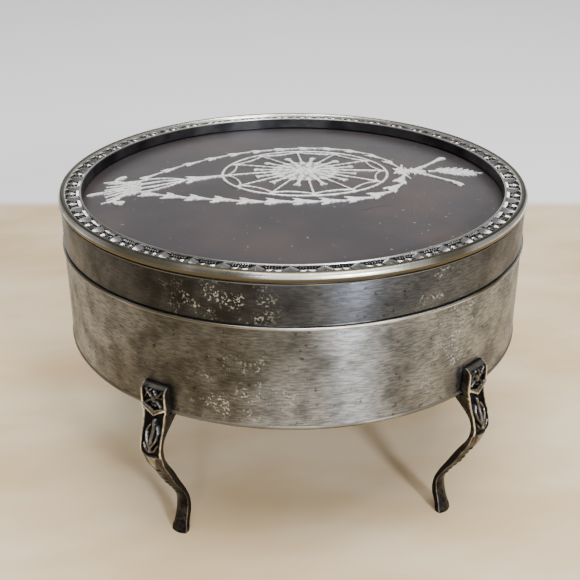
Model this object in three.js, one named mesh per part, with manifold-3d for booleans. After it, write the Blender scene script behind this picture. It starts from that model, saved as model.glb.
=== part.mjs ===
// A round dressing-table box: a silver drum on four cast cabriole legs, with a hinged lid that
// holds a domed tortoiseshell panel inlaid with silver. Millimetres, +Z up, front at -Y, and the
// origin on the table under the middle of the box.
import * as THREE from 'three';
import { mergeVertices } from 'three/addons/utils/BufferGeometryUtils.js';
import Module from 'manifold-3d';

const wasm = await Module();
wasm.setup();

// ---- driving dimensions ----
const bodyRadius = 43.6; // outside of the drum and of the lid skirt
const sheet = 0.9; // gauge of the silver walls
const legDrop = 28.0; // table to the underside of the drum
const drumHeight = 19.05; // underside to the lip, under the seam
const seam = 0.5; // open line between lip and lid
const skirtHeight = 6.75; // plain side of the lid
const coveHeight = 1.0; // hollow between skirt and roll
const rollRadius = 0.55; // outer roll of the rim
const rimWidth = 4.3; // from the opening over the shell to the outside of the roll
const lipProud = 0.4; // how far the lip and the roll stand past the wall
const fit = 0.3; // clearance between pieces that are soldered, seated or sliding
const ringSteps = 72; // facets round a ring

// ---- heights and radii that follow from them ----
const wallInside = bodyRadius - sheet;
const proudRadius = bodyRadius + lipProud;
const lipTop = legDrop + drumHeight;
const skirtBottom = lipTop + seam;
const skirtTop = skirtBottom + skirtHeight;
const rollBottom = skirtTop + coveHeight;
const rimTop = rollBottom + 2 * rollRadius;
const openingRadius = proudRadius - rimWidth;

// ---- materials ----
const finish = (color, roughness, metalness) =>
  new THREE.MeshStandardMaterial({ color, roughness, metalness });
const wornSilver = finish(0x8a8884, 0.42, 1);
const brightSilver = finish(0xd6d0c2, 0.25, 1);
const castSilver = finish(0x6f6c68, 0.4, 1);
const inlaySilver = finish(0xdcdad6, 0.35, 1);
const shell = finish(0x4d4648, 0.3, 0);
const velvet = finish(0x3c1722, 0.95, 0);

const box = new THREE.Group();
const lid = new THREE.Group();
box.add(lid);

// ---- solids: closed meshes in and out of the boolean kernel ----
function solid(geometry) {
  const bare = geometry.index ? geometry.toNonIndexed() : geometry.clone();
  bare.deleteAttribute('normal');
  bare.deleteAttribute('uv');
  const merged = mergeVertices(bare, 1e-5);
  return new wasm.Manifold(
    new wasm.Mesh({
      numProp: 3,
      vertProperties: new Float32Array(merged.attributes.position.array),
      triVerts: new Uint32Array(merged.index.array),
    }),
  );
}

function geometryOf(manifold) {
  const mesh = manifold.getMesh();
  const geometry = new THREE.BufferGeometry();
  geometry.setAttribute('position', new THREE.BufferAttribute(mesh.vertProperties, 3));
  geometry.setIndex(new THREE.BufferAttribute(mesh.triVerts, 1));
  geometry.computeVertexNormals();
  return geometry;
}

function place(group, name, geometry, material) {
  const mesh = new THREE.Mesh(geometry, material);
  mesh.name = name;
  group.add(mesh);
  return mesh;
}

// A profile of [radius, height] points turned about the upright axis.
function turned(profile, steps = ringSteps) {
  const points = profile.map(([r, z]) => new THREE.Vector2(r, z));
  return new THREE.LatheGeometry(points, steps).rotateX(Math.PI / 2);
}

// A plain ring of rectangular section, listed so that its faces point outwards.
function band(inner, outer, bottom, top) {
  return turned([
    [inner, bottom],
    [outer, bottom],
    [outer, top],
    [inner, top],
    [inner, bottom],
  ]);
}

// A ring of round section, such as a wire soldered round an edge.
function wireRing(middle, height, radius, sides = 8) {
  const profile = [];
  for (let i = 0; i <= sides; i += 1) {
    const a = (2 * Math.PI * (i + 0.5)) / sides;
    const reach = radius / Math.cos(Math.PI / sides);
    profile.push([middle + reach * Math.cos(a), height + reach * Math.sin(a)]);
  }
  profile[sides] = profile[0];
  return turned(profile);
}

function disc(radius, bottom, top) {
  return turned([
    [0, bottom],
    [radius, bottom],
    [radius, top],
    [0, top],
  ]);
}

const block = (width, depth, height, x, y, z) =>
  new THREE.BoxGeometry(width, depth, height).translate(x, y, z);

// ---- hinge sizes: the walls are cut away round it ----
const barrelRadius = 0.9;
const pinRadius = 0.4;
const pinPlay = 0.15;
const barrelLength = 14.2;
const knuckleCount = 5;
const hingeY = proudRadius - barrelRadius;
const hingeZ = lipTop + seam / 2;
const notchHalf = barrelLength / 2 + fit;
const bearerDepth = 0.8; // the bar that joins the knuckles of one leaf
const bearerReach = barrelRadius + fit; // from the pin to the bar
const notchReach = bearerReach + bearerDepth + fit;
const bearerWidth = 0.8;

// Cuts the hinge's notch out of a ring, from a height below the pin to one above it.
function notched(geometry, down, up) {
  const deep = 2 * sheet + 4 * lipProud + 2;
  const cutter = block(2 * notchHalf, deep, up + down, 0, bodyRadius, hingeZ + (up - down) / 2);
  return geometryOf(solid(geometry).subtract(solid(cutter)));
}

// ---- drum, base, edge wire and lip ----
const edgeWireRadius = 0.4;
const lipRadius = 0.4;
const baseThickness = 0.8;
const edgeWireZ = legDrop + edgeWireRadius;
const drumBottom = legDrop + 2 * edgeWireRadius + fit;
const lipZ = lipTop - lipRadius;
const drumTop = lipZ - lipRadius - fit;
const baseBottom = legDrop + fit;
const baseTop = baseBottom + baseThickness;
const baseRadius = bodyRadius + lipProud - 2 * edgeWireRadius - fit - lipProud;

place(box, 'drum_wall', notched(band(wallInside, bodyRadius, drumBottom, drumTop), notchReach, 1), wornSilver);
place(box, 'base_edge_wire', wireRing(bodyRadius, edgeWireZ, edgeWireRadius), brightSilver);
place(box, 'base_plate', disc(baseRadius, baseBottom, baseTop), wornSilver);
place(
  box,
  'drum_lip_wire',
  notched(wireRing(proudRadius - lipRadius, lipZ, lipRadius), notchReach, 1),
  brightSilver,
);

// ---- inner bezel that the lid closes over, and the velvet in the well ----
const bezelThickness = 0.8;
const bezelRise = 2.2; // above the lip
const velvetThickness = 0.8;
const cushionThickness = 2.4;
const bezelOutside = wallInside - fit;
const bezelInside = bezelOutside - bezelThickness;
const bezelBottom = baseTop + fit;
const bezelTop = lipTop + bezelRise;
const velvetOutside = bezelInside - fit;
const velvetInside = velvetOutside - velvetThickness;
const velvetTop = lipTop - 0.4;
const cushionRadius = velvetInside - fit;
const cushionBottom = baseTop + fit;
const cushionTop = cushionBottom + cushionThickness;

place(box, 'inner_bezel', notched(band(bezelInside, bezelOutside, bezelBottom, bezelTop), notchReach, 4), brightSilver);
place(box, 'well_lining', band(velvetInside, velvetOutside, bezelBottom, velvetTop), velvet);
place(box, 'well_cushion', disc(cushionRadius, cushionBottom, cushionTop), velvet);

// ---- lid: skirt, cove and roll, leaf band, inner wire ----
const bandDrop = 0.6; // the leaf band lies below the roll's top
const bandThickness = 1.1;
const innerWireWidth = 0.9;
const innerWireDrop = 0.2;
const innerWireSkirt = 0.6; // how far the wire reaches below the band, down to the shell
const coveClear = 0.1; // between the band and the cove
const rollMiddle = proudRadius - rollRadius;
const rollZ = rollBottom + rollRadius;
const bandTop = rimTop - bandDrop;
const bandBottom = bandTop - bandThickness;
const bandInside = openingRadius + innerWireWidth + fit;
const bandOutside = rollMiddle - rollRadius - fit;
const innerWireTop = rimTop - innerWireDrop;
const innerWireBottom = bandBottom - innerWireSkirt;
const coveInside = bandOutside + coveClear;

place(lid, 'lid_skirt', notched(band(wallInside, bodyRadius, skirtBottom, skirtTop), 1, notchReach), wornSilver);
place(lid, 'rim_cove', band(coveInside, bodyRadius - fit, skirtTop + fit / 2, rollBottom - fit / 2), wornSilver);
place(lid, 'rim_roll', wireRing(rollMiddle, rollZ, rollRadius), brightSilver);
place(lid, 'rim_leaf_band', band(bandInside, bandOutside, bandBottom, bandTop), castSilver);
place(
  lid,
  'rim_inner_wire',
  band(openingRadius, openingRadius + innerWireWidth, innerWireBottom, innerWireTop),
  brightSilver,
);

// ---- domed tortoiseshell panel, held up from below by a sprung ring, and the lid's velvet ----
const panelThickness = 1.3;
const panelLap = 1.6; // how far the panel runs out under the rim
const domeRise = 3.7;
const panelRadius = openingRadius + panelLap;
const panelEdgeTop = innerWireBottom - 2 * fit;
const domeRadius = (panelRadius ** 2 + domeRise ** 2) / (2 * domeRise);
const domeRings = 8;

// Height of the dome over a point that far from the middle, above the panel's top edge.
const dome = (r) => Math.sqrt(domeRadius ** 2 - r ** 2) - (domeRadius - domeRise);

// A domed sheet between two heights over the panel's edge line.
function domedSheet(radius, under, over) {
  const top = [];
  for (let i = 0; i <= domeRings; i += 1) {
    const r = (radius * i) / domeRings;
    top.push([r, panelEdgeTop + dome(r)]);
  }
  const lower = top.map(([r, z]) => [r, z + under]);
  const upper = top.map(([r, z]) => [r, z + over]).reverse();
  return turned([...lower, ...upper]);
}

place(lid, 'shell_panel', domedSheet(panelRadius, -panelThickness, 0), shell);

const keeperLap = 0.9; // how far the ring reaches in under the panel
const keeperHeight = 1.0;
const keeperTop = panelEdgeTop - panelThickness - fit;
const keeperOutside = wallInside - fit;
const keeperInside = panelRadius - keeperLap;
place(lid, 'panel_keeper', band(keeperInside, keeperOutside, keeperTop - keeperHeight, keeperTop), brightSilver);

const liningThickness = 1.2;
const liningTop = keeperTop - keeperHeight - fit;
const liningRadius = keeperInside;
place(lid, 'lid_lining', disc(liningRadius, liningTop - liningThickness, liningTop), velvet);

// ---- silver inlay: each cut piece lies just over the shell and follows its dome ----
const inlayThickness = 0.35;
const inlayGap = 0.12;
const inlayLayer = solid(domedSheet(panelRadius - fit, inlayGap, inlayGap + inlayThickness));

// Cuts flat outlines out of the inlay layer; each outline is a THREE.Shape.
function inlay(name, shapes) {
  const depth = domeRise + 4;
  const cutter = shapes
    .map((s) => {
      const bar = new THREE.ExtrudeGeometry(s, { depth, bevelEnabled: false, curveSegments: 20 });
      return solid(bar.translate(0, 0, panelEdgeTop - 1));
    })
    .reduce((all, one) => all.add(one));
  place(lid, name, geometryOf(inlayLayer.intersect(cutter)), inlaySilver);
}

const wheelX = 2.4;
const wheelHalfLength = 16.0;
const wheelHalfWidth = 12.9;
const hubHalfLength = 6.6;
const hubHalfWidth = 5.5;
const wheelRingWidth = 1.5;
const spokeCount = 12;
const spokeWidth = 0.55;

function ellipse(a, b) {
  const s = new THREE.Shape();
  s.absellipse(wheelX, 0, a, b, 0, 2 * Math.PI, false, 0);
  return s;
}

const wheelRing = ellipse(wheelHalfLength, wheelHalfWidth);
wheelRing.holes.push(ellipse(wheelHalfLength - wheelRingWidth, wheelHalfWidth - wheelRingWidth));

// A closed outline through corner points.
function outline(points) {
  return new THREE.Shape(points.map(([x, y]) => new THREE.Vector2(x, y)));
}

const spokes = [];
for (let i = 0; i < spokeCount; i += 1) {
  const a = (2 * Math.PI * i) / spokeCount;
  const from = [wheelX + 0.8 * hubHalfLength * Math.cos(a), 0.8 * hubHalfWidth * Math.sin(a)];
  const inset = wheelRingWidth / 2;
  const to = [wheelX + (wheelHalfLength - inset) * Math.cos(a), (wheelHalfWidth - inset) * Math.sin(a)];
  const side = [(-Math.sin(a) * spokeWidth) / 2, (Math.cos(a) * spokeWidth) / 2];
  spokes.push(
    outline([
      [from[0] - side[0], from[1] - side[1]],
      [to[0] - side[0], to[1] - side[1]],
      [to[0] + side[0], to[1] + side[1]],
      [from[0] + side[0], from[1] + side[1]],
    ]),
  );
}
inlay('inlay_wheel', [ellipse(hubHalfLength, hubHalfWidth), ...spokes, wheelRing]);

// A chain of husks: pointed leaves threaded along a bow from one finial to the other.
const chainClear = 1.4; // between the wheel and the husks
const huskPitch = 5.1;
const huskOverlap = 0.7; // each tip runs into the next husk
const huskWidth = 2.1;
const chainLeft = wheelX - wheelHalfLength - 14.6;
const chainRight = wheelX + wheelHalfLength + 2.2;
const chainRise = wheelHalfWidth + chainClear + huskWidth / 2;

// The upper bow, through places given as shares of its length and of its rise.
const chainBow = new THREE.SplineCurve(
  [
    [0, 0.28],
    [0.13, 0.54],
    [0.27, 0.76],
    [0.4, 0.9],
    [0.61, 1],
    [0.76, 0.97],
    [0.86, 0.84],
    [0.94, 0.6],
    [0.985, 0.33],
    [1, 0.1],
  ].map(([x, y]) => new THREE.Vector2(chainLeft + x * (chainRight - chainLeft), y * chainRise)),
);

function husks(side) {
  const count = Math.round(chainBow.getLength() / huskPitch);
  const knots = chainBow.getSpacedPoints(count);
  return knots.slice(0, count).map((from, i) => {
    const along = knots[i + 1].clone().sub(from).normalize();
    const tip = knots[i + 1].clone().addScaledVector(along, huskOverlap);
    const wing = new THREE.Vector2(-along.y, along.x).multiplyScalar(huskWidth / 2);
    const corners = [from.clone().add(wing), from.clone().sub(wing), tip];
    return outline(corners.map((p) => [p.x, side * p.y]));
  });
}
inlay('inlay_chain_upper', husks(1));
inlay('inlay_chain_lower', husks(-1));

// Finials: a bow with a long tip and a looped palmette at the left, and a spray of one leaf and
// two prongs at the right, tilted a little towards the hinge.
const tipLeft = 0.8 - openingRadius;
const tipRight = openingRadius - 1.2;
const bowHalf = 6.9;
const prongHalf = 8.4;
const sprayTilt = 0.14; // rise to the right, as a share of the length
const ringLeft = wheelX - wheelHalfLength;
const ringRight = wheelX + wheelHalfLength;

// An outline given along its upper side and mirrored below its axis.
const mirrored = (points) => [...points, ...points.map(([x, y]) => [x, -y]).reverse()];

inlay('inlay_finial_left', [
  outline(
    mirrored([
      [tipLeft, 0.4],
      [chainLeft - 4.6, 0.9],
      [chainLeft - 4.2, bowHalf],
      [chainLeft - 2.6, bowHalf],
      [chainLeft - 2.8, 3.6],
      [chainLeft - 0.6, 2.6],
      [chainLeft + 2.6, 2.4],
      [chainLeft + 8, 0.5],
      [chainLeft + 9, 1.3],
      [ringLeft - 0.4, 0.3],
    ]),
  ),
]);
inlay('inlay_finial_right', [
  outline(
    mirrored([
      [chainRight + 0.4, 1.3],
      [chainRight + 3.2, 1.4],
      [chainRight + 9, prongHalf - 1.6],
      [chainRight + 11.4, prongHalf],
      [chainRight + 11.6, prongHalf - 1.6],
      [chainRight + 6.4, 1.5],
      [chainRight + 9.4, 0.6],
      [chainRight + 12.6, 3.0],
      [tipRight, 0.2],
    ]).map(([x, y]) => [x, y + sprayTilt * (x - ringRight)]),
  ),
]);

// ---- four cast cabriole legs: a square block on the wall, a knee, and a slim turned-out foot ----
const legAngles = { front_right: 38, back_right: 142, back_left: 218, front_left: 322 };
const blockHeight = 5.4;
const blockWidth = 5.0;
const blockProud = 1.3;
const kneeWidth = 4.3;
const shinWidth = 2.6;
const footWidth = 3.0;
const kneeOut = 3.9; // from the wall to the front of the knee
const ankleIn = 4.1; // from the wall to the front of the ankle
const legGauge = 1.25;

const legFront = bodyRadius + fit + blockProud;
const kneeFront = bodyRadius + kneeOut;
const ankleFront = bodyRadius - ankleIn;

// Front and back edges of the leg, as distance from the box's axis and share of the drop.
const frontEdge = new THREE.SplineCurve(
  [
    [legFront, 1.0],
    [kneeFront - 0.9, 0.89],
    [kneeFront, 0.77],
    [kneeFront - 1.1, 0.63],
    [(kneeFront + ankleFront) / 2 - 0.1, 0.46],
    [ankleFront + 1.4, 0.345],
    [ankleFront, 0.235],
    [ankleFront + 0.4, 0.11],
    [ankleFront + 1.5, 0],
  ].map(([r, share]) => new THREE.Vector2(r, share * legDrop)),
);
const backEdge = new THREE.SplineCurve(
  [
    [ankleFront - 0.2, 0],
    [ankleFront - 1.2, 0.11],
    [ankleFront - 1.3, 0.235],
    [ankleFront + 0.1, 0.365],
    [(kneeFront + ankleFront) / 2 - 1.1, 0.52],
    [kneeFront - 1.1 - legGauge, 0.68],
    [kneeFront - legGauge, 0.78],
    [kneeFront - 1.7 - legGauge, 0.9],
  ].map(([r, share]) => new THREE.Vector2(r, share * legDrop)),
);

function legSolid() {
  const side = new THREE.Shape([
    ...frontEdge.getPoints(24),
    ...backEdge.getPoints(20),
    new THREE.Vector2(bodyRadius - 1.9, legDrop - 2 * fit),
    new THREE.Vector2(bodyRadius - 1.9, legDrop - fit),
    new THREE.Vector2(bodyRadius + fit, legDrop - fit),
  ]);
  const front = new THREE.Shape();
  front.moveTo(-footWidth / 2, 0);
  front.lineTo(footWidth / 2, 0);
  front.quadraticCurveTo(shinWidth / 2, 0.15 * legDrop, shinWidth / 2, 0.35 * legDrop);
  front.quadraticCurveTo(kneeWidth / 2, 0.65 * legDrop, kneeWidth / 2, 0.8 * legDrop);
  front.lineTo(blockWidth / 2, legDrop);
  front.lineTo(-blockWidth / 2, legDrop);
  front.lineTo(-kneeWidth / 2, 0.8 * legDrop);
  front.quadraticCurveTo(-kneeWidth / 2, 0.65 * legDrop, -shinWidth / 2, 0.35 * legDrop);
  front.quadraticCurveTo(-shinWidth / 2, 0.15 * legDrop, -footWidth / 2, 0);
  const bare = { bevelEnabled: false, curveSegments: 5 };
  const reach = 3 * bodyRadius;
  // Both outlines stand up: one runs along the leg's side, the other faces outwards.
  const along = new THREE.ExtrudeGeometry(side, { ...bare, depth: 2 * blockWidth });
  along.translate(0, 0, -blockWidth).rotateX(Math.PI / 2);
  const across = new THREE.ExtrudeGeometry(front, { ...bare, depth: reach });
  across.rotateX(Math.PI / 2).rotateZ(Math.PI / 2);
  const shank = solid(along).intersect(solid(across));
  const padDepth = legFront - bodyRadius + 1;
  const pad = block(padDepth, blockWidth, blockHeight, legFront - padDepth / 2, 0, legDrop + blockHeight / 2 - fit);
  // Keeps the square block clear of the wall and of the wire under it.
  const clearOf = turned(
    [
      [0, legDrop - fit],
      [bodyRadius + edgeWireRadius + fit, legDrop - fit],
      [bodyRadius + edgeWireRadius + fit, drumBottom],
      [bodyRadius + fit, drumBottom + fit],
      [bodyRadius + fit, lipTop],
      [0, lipTop],
    ],
    4 * ringSteps,
  );
  return shank.add(solid(pad)).subtract(solid(clearOf));
}

const leg = legSolid();
for (const [corner, angle] of Object.entries(legAngles)) {
  const mesh = place(box, `leg_${corner}`, geometryOf(leg), castSilver);
  mesh.rotation.z = THREE.MathUtils.degToRad(angle - 90);
}

// ---- hinge: three knuckles on the drum, two on the lid, and the pin through all five ----
const knucklePlay = 0.15;
const knuckleLength = barrelLength / knuckleCount;
const hingeSides = 16;

// A tube about the pin, between two places across the box.
function tube(inner, outer, from, to) {
  const around = new THREE.LatheGeometry(
    [
      [inner, from],
      [outer, from],
      [outer, to],
      [inner, to],
      [inner, from],
    ].map(([r, x]) => new THREE.Vector2(r, x)),
    hingeSides,
  );
  return around.rotateZ(-Math.PI / 2).translate(0, hingeY, hingeZ);
}

// The knuckles of one leaf, webbed to a bar that is soldered into the notch.
function leaf(which, up) {
  const barZ = hingeZ + up * (bearerReach + bearerDepth / 2);
  const bar = solid(block(barrelLength, bearerWidth, bearerDepth, 0, hingeY - fit / 2, barZ));
  const bore = solid(
    new THREE.CylinderGeometry(pinRadius + pinPlay, pinRadius + pinPlay, 2 * barrelLength, hingeSides)
      .rotateZ(Math.PI / 2)
      .translate(0, hingeY, hingeZ),
  );
  let whole = bar;
  for (let i = 0; i < knuckleCount; i += 1) {
    if (i % 2 !== which) continue;
    const from = -barrelLength / 2 + i * knuckleLength + knucklePlay;
    const to = from + knuckleLength - 2 * knucklePlay;
    const webHeight = bearerReach + bearerDepth / 2;
    const web = block(to - from, bearerWidth, webHeight, (from + to) / 2, hingeY - fit / 2, hingeZ + (up * webHeight) / 2);
    whole = whole.add(solid(tube(0.01, barrelRadius, from, to)).add(solid(web)));
  }
  return geometryOf(whole.subtract(bore));
}

place(box, 'hinge_leaf_drum', leaf(0, -1), wornSilver);
place(lid, 'hinge_leaf_lid', leaf(1, 1), wornSilver);
const pin = new THREE.CylinderGeometry(pinRadius, pinRadius, barrelLength, hingeSides);
place(box, 'hinge_pin', pin.rotateZ(Math.PI / 2).translate(0, hingeY, hingeZ), brightSilver);

export default box;
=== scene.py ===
"""A silver and tortoiseshell dressing-table box, built up the way the maker put it together."""

import math

import bmesh
import bpy
from mathutils import Matrix, Vector, noise


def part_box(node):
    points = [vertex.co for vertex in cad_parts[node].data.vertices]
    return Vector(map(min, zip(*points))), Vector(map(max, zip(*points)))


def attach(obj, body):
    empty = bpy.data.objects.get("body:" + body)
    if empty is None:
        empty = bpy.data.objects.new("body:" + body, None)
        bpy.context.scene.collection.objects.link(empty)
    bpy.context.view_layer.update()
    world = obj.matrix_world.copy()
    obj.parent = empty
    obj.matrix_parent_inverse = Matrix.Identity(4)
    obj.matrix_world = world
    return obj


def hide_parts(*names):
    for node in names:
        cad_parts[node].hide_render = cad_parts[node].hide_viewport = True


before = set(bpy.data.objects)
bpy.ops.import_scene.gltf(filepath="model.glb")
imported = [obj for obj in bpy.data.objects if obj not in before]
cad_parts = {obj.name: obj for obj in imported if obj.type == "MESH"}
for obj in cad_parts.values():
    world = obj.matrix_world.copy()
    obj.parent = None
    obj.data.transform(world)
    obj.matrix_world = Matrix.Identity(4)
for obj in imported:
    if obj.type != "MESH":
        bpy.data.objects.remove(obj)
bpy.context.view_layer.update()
scene = bpy.context.scene
MM = 0.001

# ---- Camera ----
# A plain lens a hand's length from the box, a little left of its front and looking down on the lid.
aim = Vector((0, 0, 32.3 * MM))
camera_reach = 201.1 * MM
camera_side, camera_up = math.radians(-7.0), math.radians(26.0)
to_camera = Vector((
    math.sin(camera_side) * math.cos(camera_up),
    -math.cos(camera_side) * math.cos(camera_up),
    math.sin(camera_up),
))
camera = bpy.data.objects.new("camera", bpy.data.cameras.new("camera"))
camera.data.sensor_width = 36.0
camera.data.lens = 62.07
camera.data.shift_x = -0.005
camera.data.clip_start = 0.01
camera.location = aim + camera_reach * to_camera
camera.rotation_euler = to_camera.to_track_quat("Z", "Y").to_euler()
scene.collection.objects.link(camera)
scene.camera = camera


# ---- Shader maths ----
# One class carries a socket of a node tree; sums on it add Math nodes, and make() adds any other.
class Flow:
    """A node socket that can be added, scaled and mixed like a number."""

    def __init__(self, tree, socket=None):
        self.tree = tree
        self.socket = socket

    def make(self, kind, settings=None, sockets=None, out=0):
        node = self.tree.nodes.new(kind)
        for name, value in (settings or {}).items():
            if name == "stops":
                ramp = node.color_ramp
                while len(ramp.elements) < len(value):
                    ramp.elements.new(0.5)
                for element, (place, colour) in zip(ramp.elements, value):
                    element.position = place
                    element.color = (*colour, 1)
            else:
                setattr(node, name, value)
        for name, value in (sockets or {}).items():
            if isinstance(value, Flow):
                self.tree.links.new(value.socket, node.inputs[name])
            else:
                node.inputs[name].default_value = value
        return Flow(self.tree, node.outputs[out])

    def maths(self, operation, *values):
        return self.make("ShaderNodeMath", {"operation": operation}, dict(enumerate(values)))

    def __add__(self, other):
        return self.maths("ADD", self, other)

    def __sub__(self, other):
        return self.maths("SUBTRACT", self, other)

    def __rsub__(self, other):
        return self.maths("SUBTRACT", other, self)

    def __mul__(self, other):
        return self.maths("MULTIPLY", self, other)

    __radd__ = __add__
    __rmul__ = __mul__

    def clamped(self, low, high):
        """0 below low, 1 above high and a smooth rise between."""
        ends = {"Value": self, "From Min": low, "From Max": high}
        return self.make("ShaderNodeMapRange", {"interpolation_type": "SMOOTHSTEP"}, ends)

    def mixed(self, low, high):
        """The colour low where this is 0 and high where it is 1."""
        sides = {0: self, 6: low, 7: high}
        return self.make("ShaderNodeMix", {"data_type": "RGBA"}, sides, out=2)


def colour(red, green, blue):
    return (red, green, blue, 1.0)


def new_finish(name, metallic, roughness, **constants):
    """A material and its tree; each constant is set on the shader's own socket."""
    material = bpy.data.materials.new(name)
    material.use_nodes = True
    shader = material.node_tree.nodes["Principled BSDF"]
    shader.inputs["Metallic"].default_value = metallic
    shader.inputs["Roughness"].default_value = roughness
    for socket, value in constants.items():
        shader.inputs[socket.replace("_", " ")].default_value = value
    return material, shader, Flow(material.node_tree)


def feed(flow, shader, socket):
    flow.tree.links.new(flow.socket, shader.inputs[socket])


def on_piece(flow, turn=(0, 0, 0), shift=(0, 0, 0), stretch=(1, 1, 1)):
    """The place on the piece in its own space, stretched, turned and then shifted."""
    place = {"Vector": flow.make("ShaderNodeTexCoord", out=3)}
    place.update({"Scale": stretch, "Rotation": turn, "Location": shift})
    return flow.make("ShaderNodeMapping", {}, place)


def part_of(vector, axis):
    """One part of a vector: 0 is across the box, 1 to its back and 2 up."""
    return vector.make("ShaderNodeSeparateXYZ", {}, {"Vector": vector}, out=axis)


def grain(flow, scale, detail=3.0, stretch=(1, 1, 1), turn=(0, 0, 0)):
    """Noise over the piece's own space, finer along the axes with a larger stretch."""
    place = on_piece(flow, turn, stretch=stretch)
    return flow.make("ShaderNodeTexNoise", {}, {"Vector": place, "Scale": scale, "Detail": detail})


def bumped(flow, height, shader, distance, strength=1.0):
    sockets = {"Height": height, "Distance": distance, "Strength": strength}
    feed(flow.make("ShaderNodeBump", {}, sockets), shader, "Normal")


# ---- Drum: turned wall, foot wire and rolled lip ----
# The wall is one strip of sheet silver, seamed at the back and trued in a lathe, so fine lines run
# round it. Round wire is soldered at its foot and its lip; the foot wire is darkened as painted shade,
# and the polished lip has tarnish and painted dark reflection in spots.
def near(flow, spot, reach):
    """1 at a spot on the piece and 0 beyond reach of it."""
    place = flow.make("ShaderNodeTexCoord", out=3)
    away = flow.make("ShaderNodeVectorMath", {"operation": "DISTANCE"}, {0: place, 1: spot}, out=1)
    return 1 - away.clamped(0.25 * reach, reach)


def on_wall(azimuth, height, radius=43.6 * MM):
    angle = math.radians(azimuth)
    return Vector((radius * math.sin(angle), -radius * math.cos(angle), height * MM))


def spotted(flow, spots):
    """1 near any of these (spot, reach) places and 0 away from all of them."""
    where = None
    for spot, reach in spots:
        here = near(flow, spot, reach)
        where = here if where is None else where.maths("MAXIMUM", where, here)
    return where


def sheet_silver(name, clean, tarnish, roughness, crusts=(), tarnish_and_dark_reflection=()):
    """Turned sheet silver: round lines, brown bloom, tarnish and painted dark reflection in spots,
    pale-specked crusts.
    """
    constants = {"Anisotropic": 0.86, "Anisotropic_Rotation": 0.25}
    material, shader, flow = new_finish(name, 1.0, roughness, **constants)
    broad = grain(flow, 38, 4).clamped(0.38, 0.66)
    mottle = grain(flow, 210, 5).clamped(0.35, 0.72)
    lines = grain(flow, 1, 2, stretch=(60, 60, 5200))
    fine = grain(flow, 1, 2, stretch=(700, 700, 4200)).clamped(0.3, 0.7)
    tone = (broad * 0.5 + mottle * 0.4).mixed(clean, tarnish)
    # The given spots are brown tarnish and also painted dark reflection.
    if tarnish_and_dark_reflection:
        tone = (spotted(flow, tarnish_and_dark_reflection) * (mottle * 0.3 + 0.7)).mixed(tone, tarnish)
    tone = (fine * 0.55).mixed(tone, colour(0.025, 0.024, 0.024))
    pits = grain(flow, 900, 2).clamped(0.64, 0.72)
    tone = (pits * 0.6).mixed(tone, colour(0.02, 0.018, 0.016))
    rough = mottle * 0.12 + lines * 0.1 + (roughness - 0.1)
    height = lines * 0.7 + fine * 0.8 + mottle * 0.25
    if crusts:
        flecks = grain(flow, 2300, 5).clamped(0.53, 0.62)
        patches = grain(flow, 360, 5).clamped(0.46, 0.62)
        crust = flecks * patches * spotted(flow, crusts)
        tone = (crust * 0.85).mixed(tone, colour(0.36, 0.35, 0.28))
        rough = rough + crust * 0.3
        height = height + crust * 1.2
        feed(1 - crust * 0.8, shader, "Metallic")
    feed(tone, shader, "Base Color")
    feed(rough, shader, "Roughness")
    bumped(flow, height, shader, 0.02 * MM, 0.5)
    return material


drum_silver = sheet_silver(
    "drum silver",
    colour(0.44, 0.46, 0.49),
    colour(0.085, 0.078, 0.06),
    0.43,
    crusts=(
        (on_wall(-21, 34), 11 * MM),
        (on_wall(-12, 36), 8 * MM),
        (on_wall(33, 42), 9 * MM),
        (on_wall(28, 35), 7 * MM),
        (on_wall(-70, 44), 9 * MM),
    ),
    # Tarnish and painted dark reflection on the left of the wall.
    tarnish_and_dark_reflection=((on_wall(-30, 38), 22 * MM), (on_wall(-15, 44), 13 * MM), (on_wall(-47, 30), 14 * MM)),
)


def turned_mesh(profile, steps=288):
    """Turns an outline of (radius, height), in mm, about the upright axis into a closed mesh."""
    built = bmesh.new()
    rings = []
    for radius, height in profile:
        radius, height = radius * MM, height * MM
        if radius == 0:
            rings.append([built.verts.new((0, 0, height))] * steps)
            continue
        angles = [2 * math.pi * i / steps for i in range(steps)]
        rings.append([
            built.verts.new((radius * math.cos(a), radius * math.sin(a), height)) for a in angles
        ])
    joins = list(zip(rings, rings[1:]))
    if profile[0][0] > 0:
        joins.append((rings[-1], rings[0]))
    for lower, upper in joins:
        for i in range(steps):
            k = (i + 1) % steps
            built.faces.new(dict.fromkeys((lower[i], lower[k], upper[k], upper[i])))
    bmesh.ops.recalc_face_normals(built, faces=built.faces)
    return built


def eased(corners, radius, steps=3):
    """The outline with each corner off the axis eased by a small curve."""
    outline = []
    for i, corner in enumerate(corners):
        here = Vector(corner)
        if here.x == 0:
            outline.append(corner)
            continue
        before = Vector(corners[i - 1]) - here
        after = Vector(corners[(i + 1) % len(corners)]) - here
        cut = min(radius, 0.45 * before.length, 0.45 * after.length)
        start = here + cut * before.normalized()
        end = here + cut * after.normalized()
        for step in range(steps + 1):
            t = step / steps
            outline.append(tuple(start * (1 - t) ** 2 + here * 2 * t * (1 - t) + end * t**2))
    return outline


def settled(name, built):
    """The mesh of a finished build."""
    mesh = bpy.data.meshes.new(name)
    built.to_mesh(mesh)
    built.free()
    return mesh


def shown_mesh(host):
    """The plain mesh of an object with its modifiers worked out."""
    bpy.context.view_layer.update()
    shaped = host.evaluated_get(bpy.context.evaluated_depsgraph_get())
    return bpy.data.meshes.new_from_object(shaped)


def made(name, built, material, crease=35):
    """A shown piece from a finished build or mesh, smooth except at real edges."""
    mesh = settled(name, built) if isinstance(built, bmesh.types.BMesh) else built
    mesh.materials.clear()
    mesh.materials.append(material)
    mesh.shade_smooth()
    mesh.set_sharp_from_angle(angle=math.radians(crease))
    piece = bpy.data.objects.new(name, mesh)
    scene.collection.objects.link(piece)
    return piece


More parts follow.
